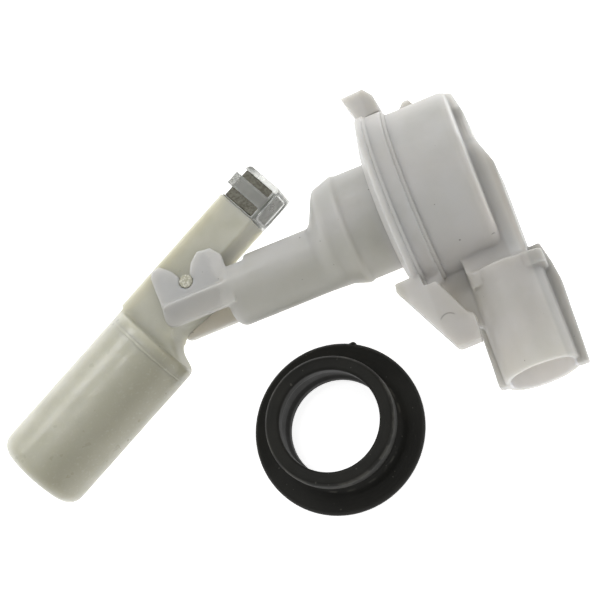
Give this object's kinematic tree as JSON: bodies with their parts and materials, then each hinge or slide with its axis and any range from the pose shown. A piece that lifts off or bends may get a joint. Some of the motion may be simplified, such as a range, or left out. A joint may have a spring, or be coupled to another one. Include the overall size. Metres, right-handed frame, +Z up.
{
  "type": "float level sensor",
  "caption": "Tank float level sensor: stem with barrel, flanged head and side connector socket, hinged lever with a float and magnet, and a loose sealing grommet.",
  "frame": {"origin": "on the barrel's axis, at the flange's seat on the tank side", "axes": "-X out of the barrel towards the fork and the float, +Y away from the connector socket, +Z up from the bench that the sensor and its grommet lie on"},
  "size_m": [0.0959, 0.0636, 0.033],
  "materials": {
    "natural_plastic": "translucent natural moulding, milky grey white",
    "carrier_plastic": "natural moulding",
    "terminal_metal": "tinned brass",
    "lead_wire": "tinned wire",
    "reed_glass": "clear glass tube",
    "reed_metal": "nickel iron blade",
    "cushion_rubber": "soft silicone sleeve",
    "potting_resin": "cured resin",
    "lever_plastic": "cream moulding, slightly translucent",
    "float_plastic": "cream foamed moulding with a fine speckle",
    "magnet_ferrite": "dark ferrite block",
    "clear_plastic": "water clear to hazy moulding",
    "grommet_rubber": "black moulded rubber"
  },
  "bodies": {
    "housing": {"stem": "natural_plastic", "head_shell": "natural_plastic", "terminal_carrier": "carrier_plastic", "terminal_left": "terminal_metal", "terminal_right": "terminal_metal", "lead_left": "lead_wire", "lead_right": "lead_wire", "joint_sleeve": "terminal_metal", "joint_clip": "terminal_metal", "reed_glass": "reed_glass", "reed_blade_fixed": "reed_metal", "reed_blade_moving": "reed_metal", "reed_lead": "reed_metal", "reed_cushion": "cushion_rubber", "potting": "potting_resin"},
    "lever": {"float_arm": "lever_plastic", "float_shell": "float_plastic", "magnet": "magnet_ferrite", "magnet_holder": "clear_plastic"},
    "seal": {"grommet": "grommet_rubber"}
  },
  "joints": [
    {"name": "float_swing", "type": "hinge", "parent": "housing", "child": "lever", "pos_m": [-0.0346, 0.00076, 0], "axis": [0, 0, 1], "range_deg": [-11, 0]},
    {"name": "grommet_slide", "type": "slide", "parent": "housing", "child": "seal", "axis": [0, -1, 0], "range_m": [0, 0.04]}
  ]
}
